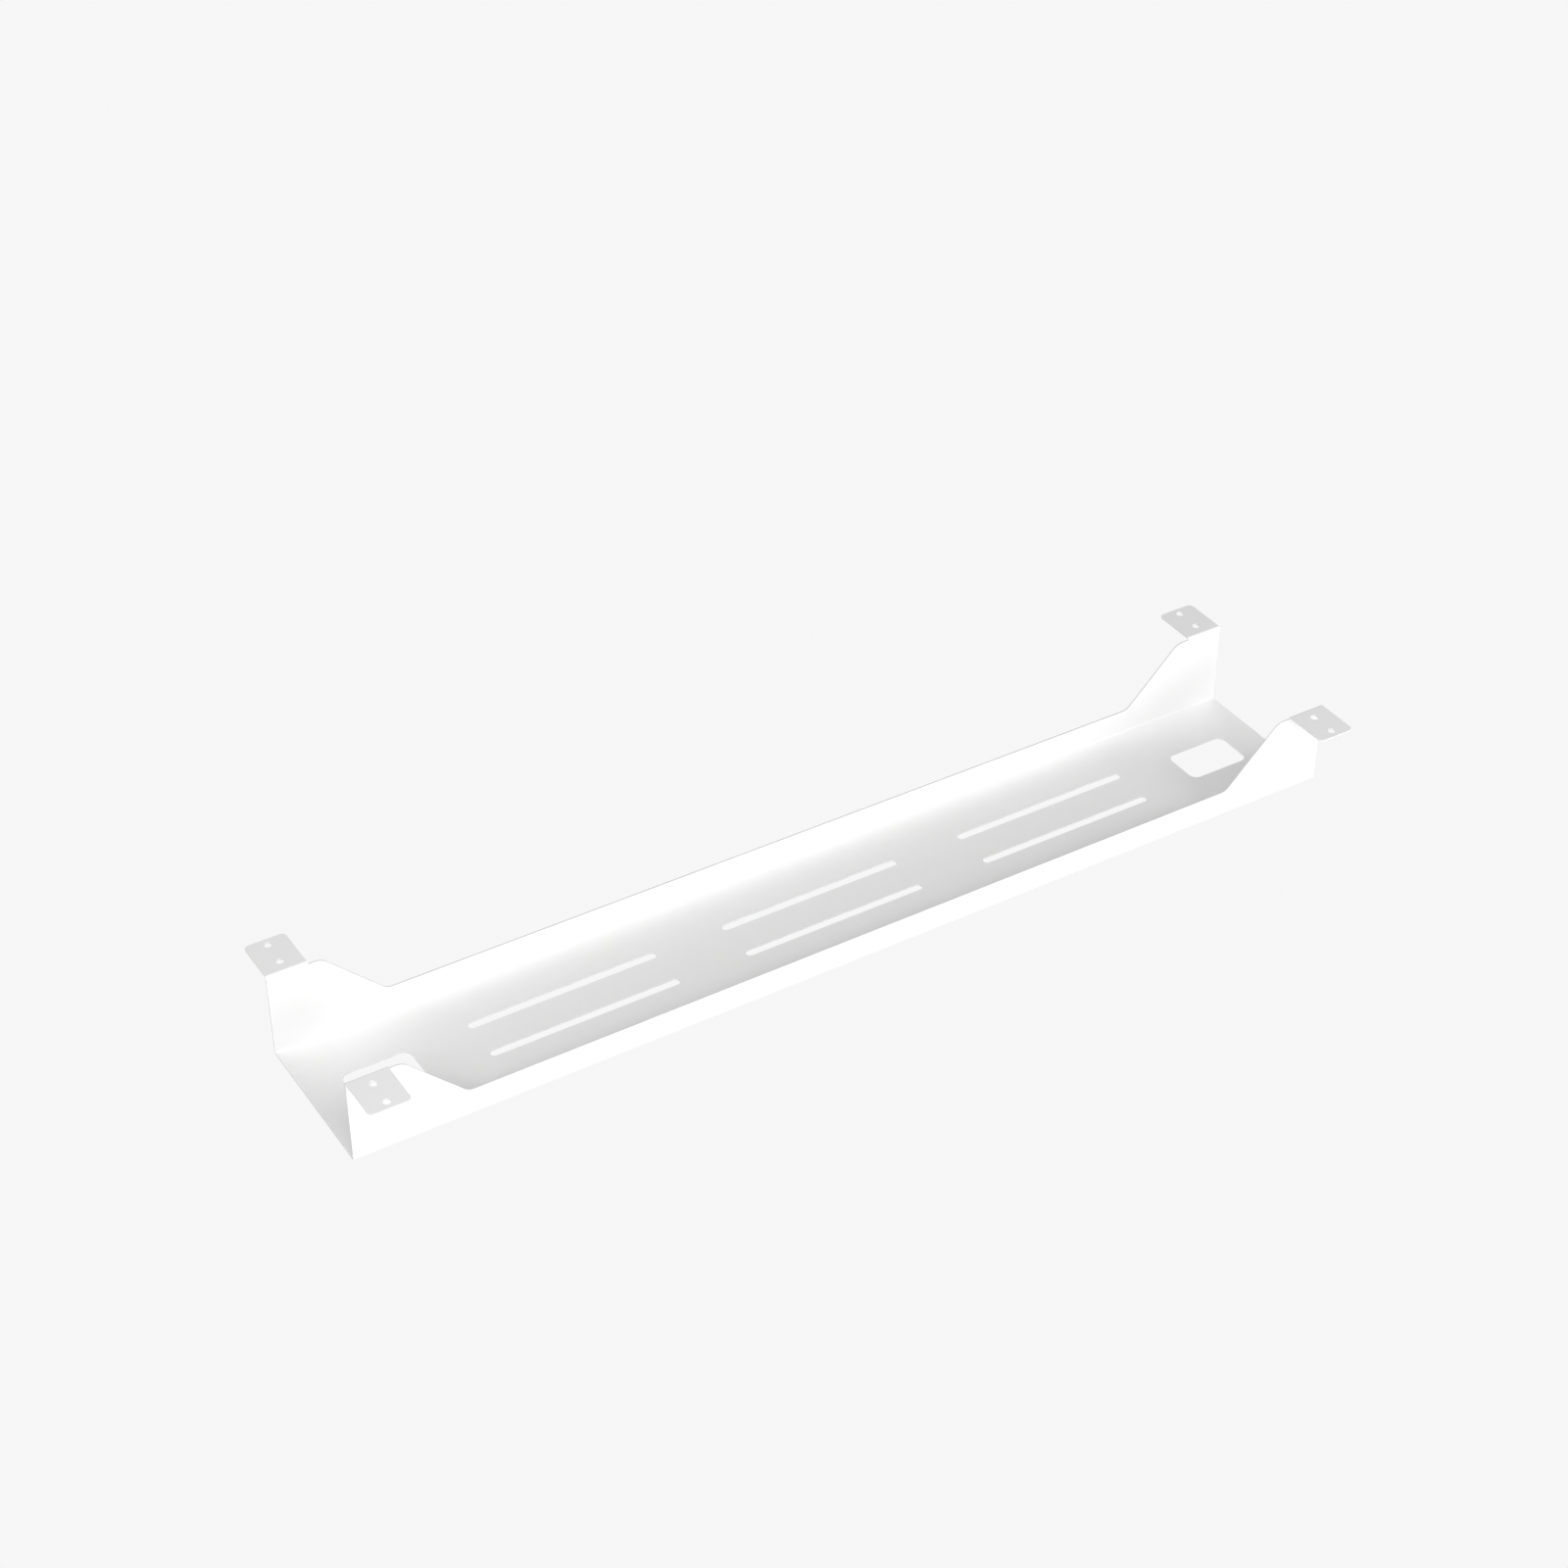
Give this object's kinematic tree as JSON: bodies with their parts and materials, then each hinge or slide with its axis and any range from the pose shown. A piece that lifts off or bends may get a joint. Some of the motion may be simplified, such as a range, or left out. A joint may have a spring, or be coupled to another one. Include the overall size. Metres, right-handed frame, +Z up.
{
  "type": "under-desk cable tray",
  "caption": "Long open channel folded from one white powder-coated steel sheet, with slots and cable cut-outs in its floor and drilled tabs to screw it under a desk.",
  "frame": {"origin": "middle of the tray on the underside of its floor, the lowest point of the part", "axes": "+X along the tray from its left end to its right end, +Y across the tray to the rear wall, +Z up to the tabs that lie against the desk top"},
  "size_m": [1, 0.245, 0.085],
  "materials": {
    "powder_coat": "matt white powder coat with a very fine texture, on 1.5 mm steel"
  },
  "bodies": {
    "root": {"floor_panel": "powder_coat", "front_floor_fold": "powder_coat", "front_rim_wall": "powder_coat", "front_left_ear": "powder_coat", "front_left_tab_fold": "powder_coat", "front_left_mounting_tab": "powder_coat", "front_right_ear": "powder_coat", "front_right_tab_fold": "powder_coat", "front_right_mounting_tab": "powder_coat", "rear_floor_fold": "powder_coat", "rear_rim_wall": "powder_coat", "rear_left_ear": "powder_coat", "rear_left_tab_fold": "powder_coat", "rear_left_mounting_tab": "powder_coat", "rear_right_ear": "powder_coat", "rear_right_tab_fold": "powder_coat", "rear_right_mounting_tab": "powder_coat"}
  },
  "joints": []
}
